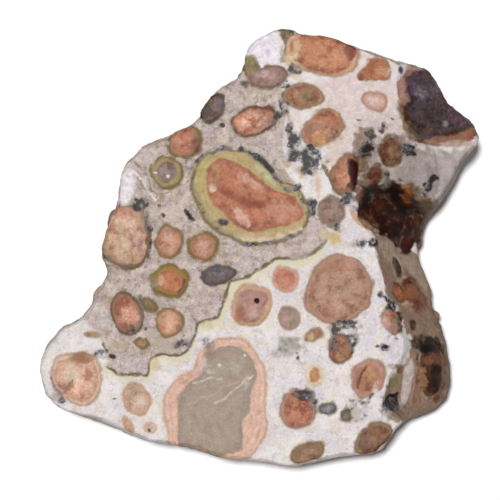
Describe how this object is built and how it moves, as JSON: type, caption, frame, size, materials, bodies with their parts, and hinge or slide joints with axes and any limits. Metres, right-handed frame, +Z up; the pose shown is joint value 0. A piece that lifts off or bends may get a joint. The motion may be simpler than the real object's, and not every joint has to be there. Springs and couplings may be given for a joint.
{
  "type": "oncolite",
  "caption": "Hand specimen of oncolite: a pale stone full of rounded, ring-grown oncoids, sawn smooth on its upper face and broken on its sides and underside.",
  "frame": {"origin": "Under the middle of the stone's bounding box, on the surface that it rests on", "axes": "+Z up out of the sawn face, +Y towards the narrower end with the white knob, +X towards the side with the hollow and the sloping flank"},
  "size_m": [0.106, 0.1055, 0.037],
  "materials": {
    "stone": "Fine-grained white to taupe limestone with orange and pink-brown oncoids, smooth and slightly satin where sawn, matt and rough where broken"
  },
  "bodies": {
    "root": {"oncolite": "stone"}
  },
  "joints": []
}
